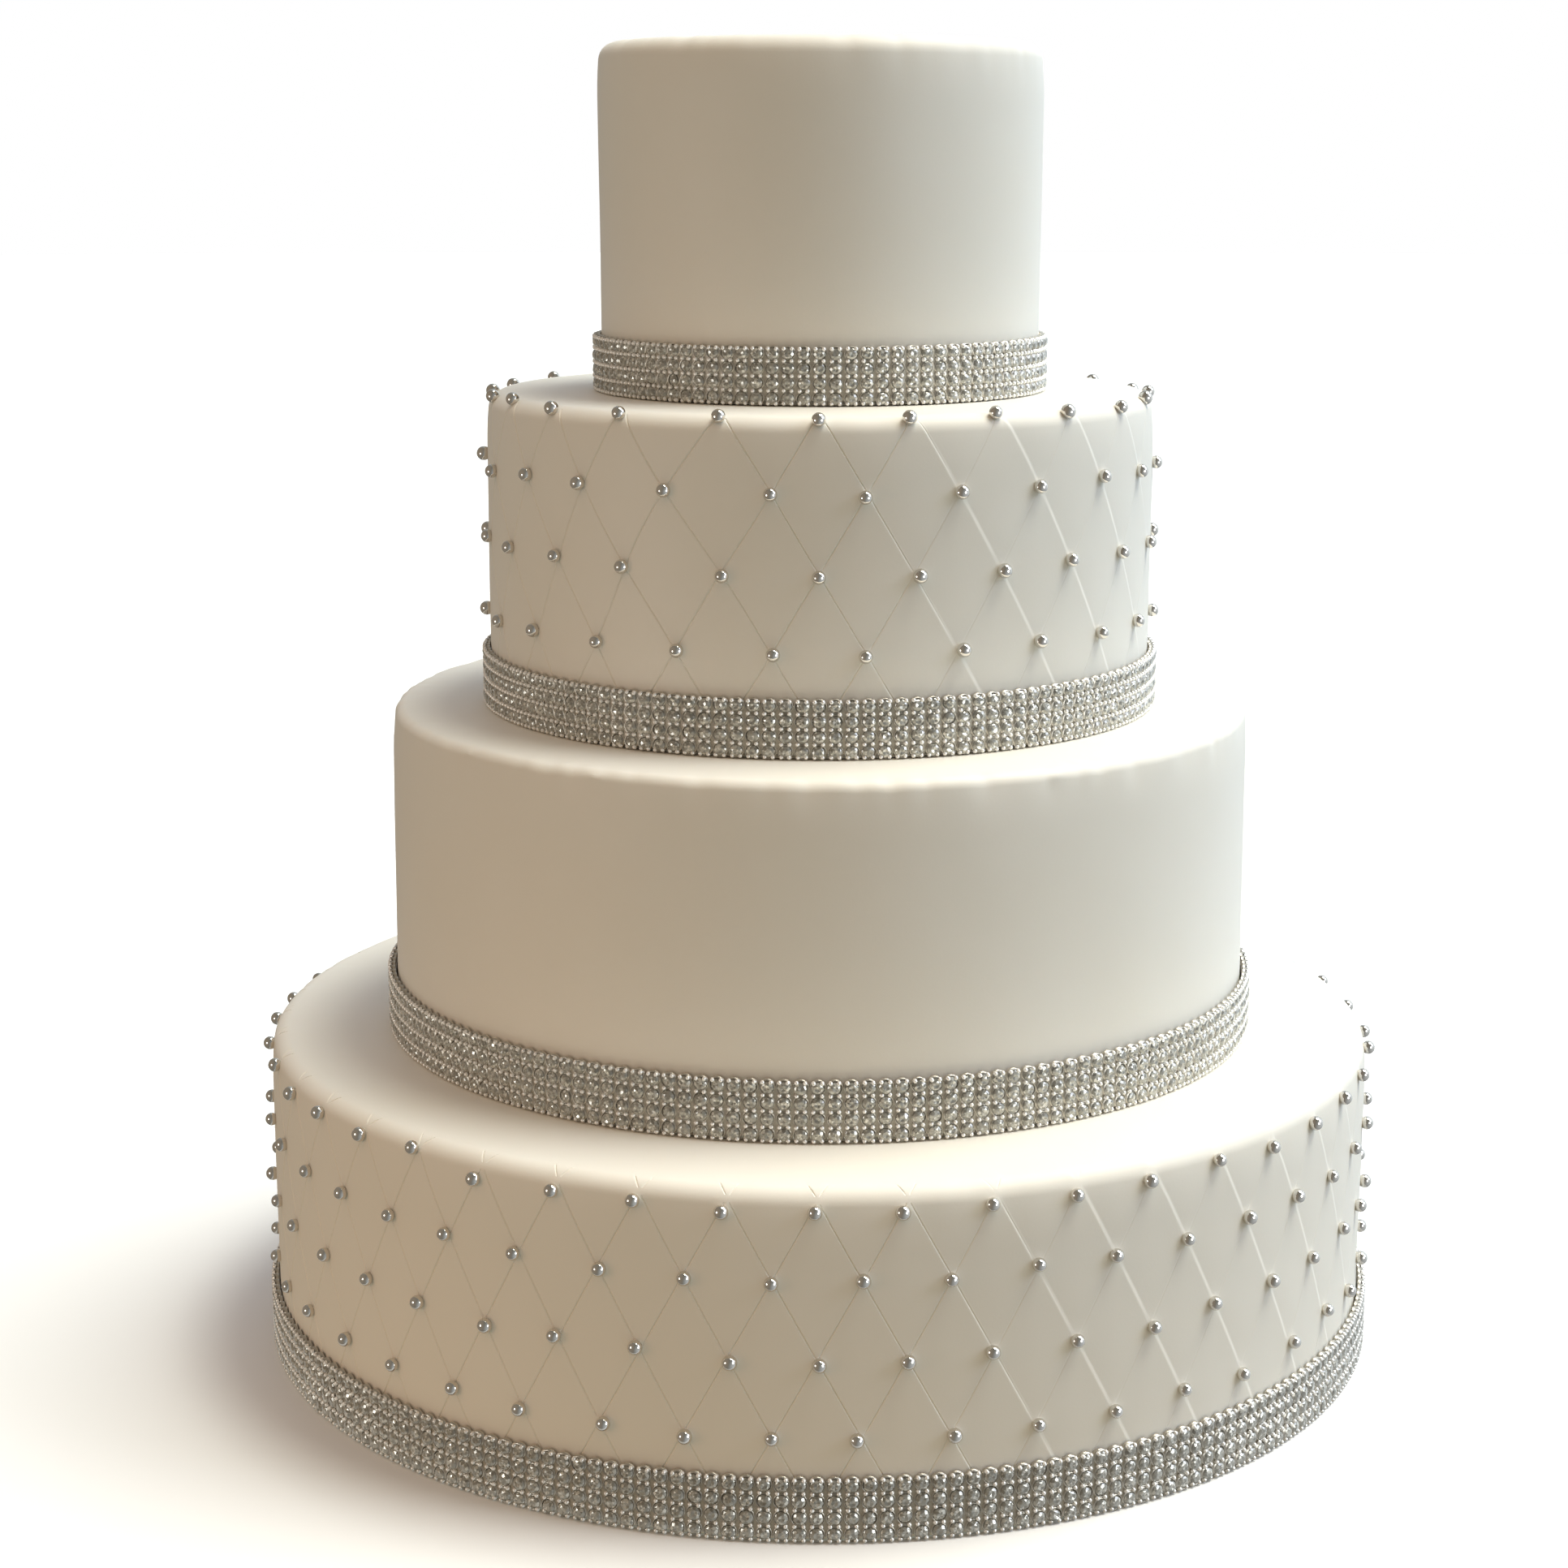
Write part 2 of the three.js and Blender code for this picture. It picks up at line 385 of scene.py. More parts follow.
def netting_ribbon(settings):
    """Nylon netting, woven and flattened under glue: a dull grey web between the cups."""
    material, tree = new_material("nylon_netting")
    mesh_size = 0.8 * MM
    place = add_node(tree, "ShaderNodeTexCoord").outputs["Object"]
    web = add_node(
        tree, "ShaderNodeTexVoronoi", {"Vector": place, "Scale": 1 / mesh_size}, feature="DISTANCE_TO_EDGE"
    )
    bump = add_node(
        tree, "ShaderNodeBump", {"Height": web.outputs["Distance"], "Strength": 0.5, "Distance": 0.1 * MM}
    )
    colour = add_node(
        tree, "ShaderNodeMix",
        {
            "Factor": web.outputs["Distance"],
            MIX_A: opaque(settings.ribbon),
            MIX_B: opaque([channel * 0.6 for channel in settings.ribbon]),
        },
        data_type="RGBA",
    )
    shader = add_node(
        tree, "ShaderNodeBsdfPrincipled",
        {
            "Base Color": colour.outputs[MIX_RESULT],
            "Metallic": 0.1,
            "Roughness": 0.4,
            "Normal": bump.outputs[0],
        },
    )
    add_node(tree, "ShaderNodeOutputMaterial", {"Surface": shader.outputs[0]})
    return material


# ---------------------------------------------------------------- places on a tier


def skin(tier, azimuth, distance, rise=0.0):
    """Places on a tier's skin, raised from it by rise, as an array of [x, y, z]."""
    over = np.clip((distance - tier.straight) / tier.edge, 0.0, math.pi / 2 - LEAN)
    height = np.minimum(distance, tier.straight)
    leaning = np.clip((distance - tier.straight) / LEAN_HEIGHT + 1.0, 0.0, 1.0)
    inset = math.tan(LEAN) * LEAN_HEIGHT / 2 * leaning**2
    tilt = over + LEAN * leaning
    radius = tier.radius + tier.flare * height / tier.straight - inset
    radius = radius + tier.edge * (np.cos(over + LEAN) - math.cos(LEAN)) + rise * np.cos(tilt)
    level = tier.level + height + tier.edge * (np.sin(over + LEAN) - math.sin(LEAN)) + rise * np.sin(tilt)
    return np.stack((radius * np.sin(azimuth), -radius * np.cos(azimuth), level), axis=-1)


SLIP = math.radians(-3.6)  # the most that the upper tier's quilting has slipped round
SLIP_SETS_IN = (-95.0, -62.0)  # azimuths in degrees over which it comes in
SLIP_DIES_OUT = (-30.0, -8.0)  # and over which it goes
SLIP_GROWS = (30 * MM, 85 * MM)  # distances over which it grows to its most
SLIP_LOW = 0.3  # its share below them


def quilt_slip(tier, azimuth, distance):
    """How far round the quilting of the upper tier has slipped from an even spacing, as an angle.

    On its front left the creases and their dragees lie too far left, most of all near the top.
    """
    if tier.name != "upper":
        return np.zeros_like(azimuth)
    angle = np.degrees((azimuth + math.pi) % (2 * math.pi) - math.pi)
    patch = smooth_step(angle, *SLIP_SETS_IN) * (1 - smooth_step(angle, *SLIP_DIES_OUT))
    return SLIP * patch * (SLIP_LOW + (1 - SLIP_LOW) * smooth_step(distance, *SLIP_GROWS))


# ---------------------------------------------------------------- meshes


def new_piece(name, vertices, faces, material, slot):
    """A smooth shaded mesh piece that rides on the cake."""
    mesh = bpy.data.meshes.new(name)
    mesh.from_pydata(vertices, [], faces)
    mesh.materials.append(material)
    mesh.shade_smooth()
    mesh.validate()
    piece = bpy.data.objects.new(name, mesh)
    bpy.context.scene.collection.objects.link(piece)
    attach(piece, BODY)
    return piece


def read_template(form):
    """The vertices and faces of a bmesh, which is then freed."""
    form.verts.index_update()
    vertices = np.array([vertex.co[:] for vertex in form.verts])
    faces = [tuple(vertex.index for vertex in face.verts) for face in form.faces]
    form.free()
    return vertices, faces


def repeated(vertices, faces, places):
    """A template repeated at each place, a 4x4 matrix, as one list of vertices and one of faces."""
    turns = np.array([[row[:3] for row in place[:3]] for place in places])
    shifts = np.array([place.translation[:] for place in places])
    moved = np.einsum("pij,vj->pvi", turns, vertices) + shifts[:, None, :]
    count = len(vertices)
    joined = [
        tuple(index + copy * count for index in face) for copy in range(len(places)) for face in faces
    ]
    return moved.reshape(-1, 3).tolist(), joined


WALL_STEP = 4 * MM  # height of the faces of the icing's wall
EDGE_STEPS = 8  # faces over the rounded top edge
PLAIN_COLUMNS = 90  # pieces that a plain tier is made round in
COLUMN_FACES = 6  # faces across one diamond, or one piece of a plain tier
SHOULDER = 0.4 * MM  # flat strip kept beside a crease, so that its shading stays narrow
STEP_STRIP = 6 * MM  # how far from a step's middle the icing is back at its level, on each side
FAINT_SHARE = 0.25  # depth of a barely marked crease, as a share of a notch's
CUT_REACH = 3 * MM  # corners of a section farther than this from its middle get no cut of their own
TOUCHING = 1e-7  # vertices nearer than this count as one
CREASE_STARTS = (1.0 * MM, 3.5 * MM)  # from a crossing: where a crease begins, and where it is whole
CREASE_END = 3 * MM  # over this last stretch of the rounded edge the creases run out
SIDE_TURN = 0.45  # sine of the azimuth from which the creases are wholly those of the right side


def stations(tier):
    """The distances of the rows of faces up a tier's wall and over its edge."""
    wall = np.linspace(tier.foot - tier.level, tier.straight, round(tier.straight / WALL_STEP) + 1)
    edge = np.linspace(tier.straight, tier.length, EDGE_STEPS + 1)
    return np.concatenate((wall, edge[1:]))


def flat_sheet(width, rows):
    """A flat bmesh of one column of skin, with x round the tier and y its distance up."""
    sheet = bmesh.new()
    steps = np.linspace(0.0, width, COLUMN_FACES + 1)
    grid = [[sheet.verts.new((x, y, 0.0)) for x in steps] for y in rows]
    for lower, upper in zip(grid, grid[1:]):
        for left in range(COLUMN_FACES):
            sheet.faces.new((lower[left], lower[left + 1], upper[left + 1], upper[left]))
    return sheet


RISING, FALLING = 1, -1  # the two ways that creases lean, seen from outside and from left to right


def crease_sections(fondant):
    """The sections of the creases: those of the cake's left side and those of its right side.

    Each is a list of corners from the crease's lower side to its upper: distance from its middle, and rise.
    On the left all creases are notches. On the right the rising ones are barely marked, and each falling
    one is a step, with the icing swelling up to it on one side and sinking down to it on the other.
    """
    half, depth = fondant.crease_width / 2, fondant.crease_depth
    slope, height = fondant.step_width / 2, fondant.step_height / 2
    notch = ((-half, 0.0), (0.0, -depth), (half, 0.0))
    faint = ((-half, 0.0), (0.0, -FAINT_SHARE * depth), (half, 0.0))
    step = ((-STEP_STRIP, 0.0), (-slope, height), (slope, -height), (STEP_STRIP, 0.0))
    return {RISING: notch, FALLING: notch}, {RISING: faint, FALLING: step}


def cut_creases(sheet, width, length, sections):
    """Cuts the sheet along the corners of each crease's sections and the shoulders beside them."""
    slope = ROW_STEP / (width / 2)
    for lean in (RISING, FALLING):
        across = Vector((-lean * slope, 1.0, 0.0)).normalized()
        corners = {corner for side in sections for corner, rise in side[lean]}
        cuts = sorted(corner for corner in corners if abs(corner) < CUT_REACH)
        start = TOP_CROSSING + 4 * ROW_STEP
        while start > -2 * ROW_STEP - length:
            for cut in (cuts[0] - SHOULDER, *cuts, cuts[-1] + SHOULDER):
                everything = sheet.verts[:] + sheet.edges[:] + sheet.faces[:]
                bmesh.ops.bisect_plane(
                    sheet, geom=everything, dist=TOUCHING, plane_no=across,
                    plane_co=Vector((0.0, start, 0.0)) + across * cut,
                )
            start -= 2 * ROW_STEP


def nearest_crossing(points, width):
    """How far each point of the flat sheet is from a crossing of the creases."""
    x, y = points[:, 0], points[:, 1] - TOP_CROSSING
    to_side = np.hypot(np.minimum(x, width - x), (y + ROW_STEP) % (2 * ROW_STEP) - ROW_STEP)
    to_middle = np.hypot(x - width / 2, y % (2 * ROW_STEP) - ROW_STEP)
    return np.minimum(to_side, to_middle)


def crease_rise(points, width, length, side):
    """How far each point of the flat sheet is raised or pressed in. A crease stops short of the dragees."""
    slope = ROW_STEP / (width / 2)
    rise = np.zeros(len(points))
    for lean, section in side.items():
        offset = points[:, 1] - lean * slope * points[:, 0] - TOP_CROSSING
        aside = ((offset + ROW_STEP) % (2 * ROW_STEP) - ROW_STEP) / math.hypot(1.0, slope)
        rise += np.interp(aside, *zip(*section))
    rise = rise * smooth_step(nearest_crossing(points, width), *CREASE_STARTS)
    return rise * (1 - smooth_step(points[:, 1], length - CREASE_END, length))


def wrapped(points, faces, width, copies):
    """Copies of a flat sheet set side by side round a tier and joined where they meet.

    Gives each vertex's number in the sheet and its copy, and the faces.
    """
    left = [i for i in np.argsort(points[:, 1]) if points[i, 0] < TOUCHING]
    right = [i for i in np.argsort(points[:, 1]) if points[i, 0] > width - TOUCHING]
    if len(left) != len(right):
        raise RuntimeError("the two sides of a column of icing don't match")
    partner = dict(zip(right, left))
    kept = [i for i in range(len(points)) if i not in partner]
    number = {old: new for new, old in enumerate(kept)}
    count = len(kept)

    def place_of(index, copy):
        if index in partner:
            return number[partner[index]] + ((copy + 1) % copies) * count
        return number[index] + copy * count

    joined = [tuple(place_of(i, copy) for i in face) for copy in range(copies) for face in faces]
    return np.tile(kept, copies), np.repeat(np.arange(copies), count), joined


NUBS = {"lower": (-49.3, -27.7, 29.6)}  # small lumps left on a tier's rim, as azimuths in degrees
NUB_HEIGHT = 0.7 * MM
NUB_SIZE = 1.9 * MM


def hand_smoothed(points, tier, amount):
    """Moves points in or out by a little, in soft waves that differ from tier to tier.

    The rounded edge wanders more than the wall, and its crest dips here and there. A few lumps stay on it.
    """
    offset = Vector((0.0, 0.0, float(tier.stones)))
    crest = tier.straight + 0.5 * tier.edge
    nubs = [Vector(skin(tier, math.radians(angle), crest)) for angle in NUBS.get(tier.name, ())]
    broad, small, knead, nick = 0.09, 0.03, 0.016, 0.007  # lengths of the waves
    small_share, knead_share, nick_share, dip_share = 0.35, 0.7, 0.5, 0.3
    near_rim = smooth_step(points[:, 2], tier.top - 3 * tier.edge, tier.top - 0.3 * tier.edge)
    moved = []
    for point, share in zip(points, near_rim):
        spot = Vector(point)
        outward = Vector((spot.x, spot.y, 0.0)).normalized()
        ripple = small_share * noise.noise(spot / small + offset)
        wave = amount * (noise.noise(spot / broad + offset) + ripple)
        wander = noise.noise(outward * tier.radius / knead + offset)
        nicks = noise.noise(outward * tier.radius / nick + offset)
        wave += tier.rim_wander * share * (knead_share * wander + nick_share * nicks)
        wave += sum(NUB_HEIGHT * math.exp(-(((spot - nub).length / NUB_SIZE) ** 2)) for nub in nubs)
        dip = tier.rim_wander * share * max(0.0, dip_share * wander - nicks)
        moved.append(spot + outward * wave - Vector((0.0, 0.0, dip)))
    return moved


TOP_SETTLES = ((2.5 * MM, 0.6), (6.0 * MM, 0.2), (12.0 * MM, 0.0))  # in from the rim, and unevenness kept
FLAT_RINGS = 5  # on the level part of a tier's top
LAST_RING = 0.3  # radius of the innermost ring, as a share of the tier's
FONDANT_SHARP = math.radians(16)  # a turn between faces that is too sharp to be shaded smooth


def close_top_and_foot(piece, tier):
    """Closes the skin with a top, in rings that soon lie flat, and a flat foot."""
    form = bmesh.new()
    form.from_mesh(piece.data)
    middle = (tier.foot + tier.top) / 2
    rims = {True: [], False: []}
    for edge in form.edges:
        if edge.is_boundary:
            rims[edge.verts[0].co.z > middle].append(edge)
    rim = rims[True]
    brim = float(np.hypot(*skin(tier, np.zeros(1), np.array([tier.length]))[0, :2]))
    settling = [(brim - inset, share) for inset, share in TOP_SETTLES]
    radii = np.linspace(settling[-1][0], LAST_RING * tier.radius, FLAT_RINGS + 1)
    flat = [(radius, 0.0) for radius in radii[1:]]
    for radius, uneven in settling + flat:
        grown = bmesh.ops.extrude_edge_only(form, edges=rim)["geom"]
        rim = [item for item in grown if isinstance(item, bmesh.types.BMEdge)]
        for vertex in {vertex for edge in rim for vertex in edge.verts}:
            place = Vector((vertex.co.x, vertex.co.y, 0.0)).normalized() * radius
            vertex.co = Vector((place.x, place.y, tier.top + (vertex.co.z - tier.top) * uneven))
    bmesh.ops.contextual_create(form, geom=rim)
    bmesh.ops.contextual_create(form, geom=rims[False])
    bmesh.ops.recalc_face_normals(form, faces=form.faces[:])
    form.to_mesh(piece.data)
    form.free()
    piece.data.set_sharp_from_angle(angle=FONDANT_SHARP)


def fondant_tier(tier, fondant, material):
    """The icing of one tier, with its creases if it is quilted."""
    columns = tier.diamonds or PLAIN_COLUMNS
    width = 2 * math.pi * tier.radius / columns
    sheet = flat_sheet(width, stations(tier))
    sections = crease_sections(fondant)
    if tier.diamonds:
        cut_creases(sheet, width, tier.length, sections)
    points, faces = read_template(sheet)
    source, copy, joined = wrapped(points, faces, width, columns)
    azimuth = (copy + points[source, 0] / width) * 2 * math.pi / columns
    distance = points[source, 1]
    rise = np.zeros(len(source))
    if tier.diamonds:
        azimuth = azimuth + quilt_slip(tier, azimuth, distance)
        left, right = (crease_rise(points, width, tier.length, side)[source] for side in sections)
        rise = left + (right - left) * smooth_step(np.sin(azimuth), 0.0, SIDE_TURN)
    vertices = skin(tier, azimuth, distance, rise)
    vertices = hand_smoothed(vertices, tier, fondant.unevenness)
    piece = new_piece(f"{tier.name}_fondant", vertices, joined, material, "fondant")
    close_top_and_foot(piece, tier)
    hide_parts(f"{tier.name}_tier")


TOP_ROW_LEFT = 1.5 * MM  # how far left of its crossings the highest row of dragees lies
TOP_ROW_DOWN = 3 * MM  # and how far below them


def dragee_places(tier, dragees, draw):
    """A matrix for each dragee of a quilted tier."""
    places = []
    for row in range(BEADED_ROWS):
        distance = TOP_CROSSING - row * ROW_STEP
        for number in range(tier.diamonds):
            azimuth = 2 * math.pi * (number + row / 2) / tier.diamonds
            sideways = draw.gauss(0.0, dragees.stray / 2) - (TOP_ROW_LEFT if row == 0 else 0.0)
            azimuth += float(quilt_slip(tier, np.array([azimuth]), distance)[0])
            azimuth += sideways / tier.radius
            lower = distance + draw.gauss(0.0, dragees.stray / 2) - (TOP_ROW_DOWN if row == 0 else 0.0)
            size = dragees.diameter + draw.uniform(-1, 1) * dragees.spread
            centre = skin(tier, azimuth, lower, dragees.rise)
            spin = Euler([draw.uniform(0, 2 * math.pi) for _ in range(3)]).to_matrix().to_4x4()
            places.append(Matrix.Translation(centre) @ spin @ Matrix.Scale(size / 2, 4))
    return places


DRAGEE_SIDES = 18
DRAGEE_RINGS = 12


def dragee_balls(tier, dragees, material):
    """All the dragees of one tier, as one mesh."""
    ball = bmesh.new()
    bmesh.ops.create_uvsphere(ball, u_segments=DRAGEE_SIDES, v_segments=DRAGEE_RINGS, radius=1.0)
    draw = random.Random(tier.seed)
    vertices, faces = repeated(*read_template(ball), dragee_places(tier, dragees, draw))
    piece = new_piece(f"{tier.name}_dragees", vertices, faces, material, "dragee")
    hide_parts(f"{tier.name}_tier")


# ---------------------------------------------------------------- rhinestone bands

CUP_BASE = 1.9 * MM  # from the band's inside to the level that heights in a cup are measured from
RIBBON_FACE = 1.6 * MM  # from the band's inside to the ribbon's face
CUP_SIDES = 16
STONE_SIDES = 8
SKIRT_FACES = 2 * STONE_SIDES
PRONG_SIDES = 6
CRYSTAL_TILT = math.radians(5.0)  # how far most stones are tipped in their cups
PRONG_TILT = math.radians(9.0)
# the skirt's dim tone is painted shade in the gap between the stone and its cup
SKIRT_PAINTED_SHADE = 0.25
DIMMEST, TONE_RANGE = 0.2, 0.35  # painted reflection tones of a stone's facets, from 0 for dim to 1 for bright
FLASH, FLASH_CHANCE = 0.45, 0.2  # painted glint that a bright facet has on top of its tone, and how often there is one
LOWEST_PRONG, HIGHEST_PRONG = 0.15, 0.2  # in from the band's lower and upper edge, in rows
RIBBON_LOW, RIBBON_HIGH = 0.35, 0.45  # in from the same edges to the ribbon's, in rows
RIBBON_SHARP = math.radians(40)


class BandGrid(NamedTuple):
    """The spacing of a band's stones."""

    radius: float  # of the level that heights in a cup are measured from
    row: float  # from row to row
    foot: float  # level of the band's lower edge
    cell: float  # half the height of a stone's place
    stretch: float  # how much wider that place is than high


def band_grid(tier):
    """The spacing of the stones of one tier's band."""
    radius = tier.radius + CLEARANCE + CUP_BASE
    pitch = 2 * math.pi * radius / tier.stones
    return BandGrid(radius, tier.row, tier.band_foot, tier.row / 2, pitch / tier.row)


def ring(form, radius, height, sides, turn=0.0, drop=0.0):
    """A ring of vertices round the local Z axis, lowered by drop."""
    made = []
    for side in range(sides):
        angle = 2 * math.pi * (side + turn) / sides
        made.append(form.verts.new((radius * math.cos(angle), radius * math.sin(angle) - drop, height)))
    return made


def join_rings(form, lower, upper):
    """A wall of faces between two rings of as many vertices."""
    count = len(lower)
    for side in range(count):
        following = (side + 1) % count
        form.faces.new((lower[side], lower[following], upper[following], upper[side]))


def fitted(form, grid):
    """A round template, stretched to the width of a stone's place."""
    vertices, faces = read_template(form)
    return vertices * (grid.stretch, 1.0, 1.0), faces


def cut_stone(grid):
    """A round brilliant: a foil skirt painted dark as shade in the gap to its cup, a crown, and the star of
    the pavilion that shows in the table.

    The stone sits a little low in its cup, which leaves a wider sickle of shade over its top.
    """
    form = bmesh.new()
    girdle, low = 0.8 * grid.cell, 0.05 * grid.cell
    skirt = ring(form, girdle * 1.12, 0.02 * MM, SKIRT_FACES, drop=low)
    rim = ring(form, girdle, 0.3 * MM, SKIRT_FACES, drop=low)
    mid = ring(form, girdle * 0.78, 0.72 * MM, STONE_SIDES, turn=0.5, drop=low)
    table = ring(form, girdle * 0.5, 0.98 * MM, STONE_SIDES, drop=low)
    culet = form.verts.new((0.0, -low, 0.84 * MM))
    join_rings(form, skirt, rim)
    for side in range(STONE_SIDES):
        following = (side + 1) % STONE_SIDES
        form.faces.new((table[side], table[following], culet))
        form.faces.new((mid[side], table[following], table[side]))
        form.faces.new((mid[side], rim[(2 * side + 2) % len(rim)], mid[following], table[following]))
        form.faces.new((rim[2 * side], rim[2 * side + 1], mid[side]))
        form.faces.new((rim[2 * side + 1], rim[(2 * side + 2) % len(rim)], mid[side]))
    return fitted(form, grid)


def folded_cup(grid):
    """A cup with its rim folded over the stone."""
    form = bmesh.new()
    wall = ring(form, grid.cell * 0.98, -1.5 * MM, CUP_SIDES)
    crest = ring(form, grid.cell * 0.93, 0.45 * MM, CUP_SIDES)
    floor = ring(form, grid.cell * 0.86, 0.1 * MM, CUP_SIDES)
    join_rings(form, wall, crest)
    join_rings(form, crest, floor)
    return fitted(form, grid)


def rounded_prong():
    """A prong's round head, which holds the stones on both sides of it; its whiteness is a painted highlight
    from its material.
    """
    form = bmesh.new()
    rings = [
        ring(form, radius * MM, height * MM, PRONG_SIDES)
        for radius, height in ((0.8, -0.1), (0.72, 0.58), (0.4, 1.02))
    ]
    for lower, upper in zip(rings, rings[1:]):
        join_rings(form, lower, upper)
    form.faces.new(rings[-1])
    return read_template(form)


def band_place(grid, azimuth, height):
    """A matrix for a place on a band: its X round the tier, its Y up and its Z outward."""
    outward = Vector((math.sin(azimuth), -math.cos(azimuth), 0.0))
    east = Vector((math.cos(azimuth), math.sin(azimuth), 0.0))
    turn = Matrix((east, (0.0, 0.0, 1.0), outward)).transposed().to_4x4()
    centre = outward * grid.radius
    centre.z = grid.foot + height
    return Matrix.Translation(centre) @ turn


def stone_places(tier, grid):
    """A matrix for each stone of a band."""
    return [
        band_place(grid, 2 * math.pi * number / tier.stones, (row + 0.5) * grid.row)
        for row in range(BAND_ROWS)
        for number in range(tier.stones)
    ]


def prong_places(tier, grid):
    """A matrix for each prong: two to a stone, in the joints between the rows and along both edges."""
    levels = (LOWEST_PRONG, *range(1, BAND_ROWS), BAND_ROWS - HIGHEST_PRONG)
    return [
        band_place(grid, math.pi * (number + 0.5) / tier.stones, level * grid.row)
        for level in levels
        for number in range(2 * tier.stones)
    ]


def tilted(places, draw, wobble):
    """The places, each tipped a little its own way."""
    tips = [Euler((draw.gauss(0, wobble), draw.gauss(0, wobble), 0.0)) for _ in places]
    return [place @ tip.to_matrix().to_4x4() for place, tip in zip(places, tips)]


def paint_facet_reflections(piece, draw, faces_per_stone):
    """Paints each facet a tone that stands for what the stone reflects: most are dim and a few bright, as
    painted glints. The skirt comes first in each stone and is painted dark as shade.
    """
    mesh = piece.data
    tones = [
        DIMMEST + TONE_RANGE * draw.random() + FLASH * (draw.random() < FLASH_CHANCE)
        for _ in mesh.polygons
    ]
    for start in range(0, len(tones), faces_per_stone):
        # painted shade on the skirt
        tones[start : start + SKIRT_FACES] = [SKIRT_PAINTED_SHADE] * SKIRT_FACES
    mesh.attributes.new("facet_painted_reflection", "FLOAT", "FACE").data.foreach_set("value", tones)
    mesh.shade_flat()


def band_piece(tier, kind, template, places, material):
    """One mesh of all the parts of one kind in a band."""
    piece = new_piece(f"{tier.name}_{kind}", *repeated(*template, places), material, "rhinestone")
    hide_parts(f"{tier.name}_band")
    return piece


def crystals(tier, material):
    """The stones of one band, each turned its own way in its cup."""
    grid = band_grid(tier)
    draw = random.Random(tier.seed + 1)
    places = tilted(stone_places(tier, grid), draw, CRYSTAL_TILT)
    template = cut_stone(grid)
    piece = band_piece(tier, "crystals", template, places, material)
    paint_facet_reflections(piece, draw, len(template[1]))


def cups(tier, material):
    """The cups of one band."""
    grid = band_grid(tier)
    band_piece(tier, "cups", folded_cup(grid), stone_places(tier, grid), material)


def prongs(tier, material):
    """The prongs of one band."""
    grid = band_grid(tier)
    draw = random.Random(tier.seed + 2)
    places = tilted(prong_places(tier, grid), draw, PRONG_TILT)
    band_piece(tier, "prongs", rounded_prong(), places, material)


def ribbon(tier, material):
    """The ribbon behind the cups: a thin ring that ends below the scalloped tips of the highest row."""
    grid = band_grid(tier)
    inner = tier.radius + CLEARANCE
    face = inner + RIBBON_FACE
    low = grid.foot + RIBBON_LOW * grid.row
    high = grid.foot + (BAND_ROWS - RIBBON_HIGH) * grid.row
    form = bmesh.new()
    sides = 2 * tier.stones
    corners = [(inner, low), (face, low), (face, high), (inner, high)]
    rings = [ring(form, radius, level, sides) for radius, level in corners]
    for lower, upper in zip(rings, rings[1:] + rings[:1]):
        join_rings(form, lower, upper)
    vertices, faces = read_template(form)
    piece = new_piece(f"{tier.name}_ribbon", vertices.tolist(), faces, material, "rhinestone")
    piece.data.set_sharp_from_angle(angle=RIBBON_SHARP)
    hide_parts(f"{tier.name}_band")


# ---------------------------------------------------------------- stage


def direction(azimuth, elevation):
    """A unit vector towards a place, from angles in degrees."""
    turn, lift = math.radians(azimuth), math.radians(elevation)
    return Vector((math.sin(turn) * math.cos(lift), -math.cos(turn) * math.cos(lift), math.sin(lift)))


def add_light(name, kind, toward, power, colour):
    """A light that shines from a direction onto the middle of the cake."""
    light = bpy.data.lights.new(name, kind)
    light.energy = power
    light.color = colour
    lamp = bpy.data.objects.new(name, light)
    bpy.context.scene.collection.objects.link(lamp)
    lamp.rotation_euler = toward.to_track_quat("Z", "Y").to_euler()
    lamp.visible_camera = False
    return lamp


def add_daylight(name, toward, spread, power, colour):
    """A broad, far light, such as a bright window, that lights near and far floor alike."""
    daylight = add_light(name, "SUN", toward, power, colour)
    daylight.data.angle = math.radians(spread)
    return daylight


def add_softbox(name, toward, distance, size, power, colour):
    """A square soft light that looks at the middle of the cake."""
    softbox = add_light(name, "AREA", toward, power, colour)
    softbox.data.shape = "SQUARE"
    softbox.data.size = size
    softbox.location = Vector((0.0, 0.0, TIERS[-1].top / 2)) + toward * distance
    return softbox


def add_underlight(name, size, level, power, colour):
    """A round light just over the floor, for the light that a table top throws up at the cake."""
    underlight = add_light(name, "AREA", Vector((0.0, 0.0, -1.0)), power, colour)
    underlight.data.shape = "DISK"
    underlight.data.size = size
    underlight.location.z = level
    return underlight


def add_glow(tree, way, toward, tightness, colour, room):
    """Adds a soft glow on one side of the room to the light that comes from the room."""
    facing = add_node(tree, "ShaderNodeVectorMath", {0: way, 1: toward}, operation="DOT_PRODUCT")
    front = add_node(tree, "ShaderNodeMath", {0: facing.outputs["Value"], 1: 0.0}, operation="MAXIMUM")
    share = add_node(tree, "ShaderNodeMath", {0: front.outputs[0], 1: tightness}, operation="POWER")
    both = add_node(
        tree, "ShaderNodeVectorMath", {0: share.outputs[0], 1: colour, 2: room}, operation="MULTIPLY_ADD"
    )
    return both.outputs[0]


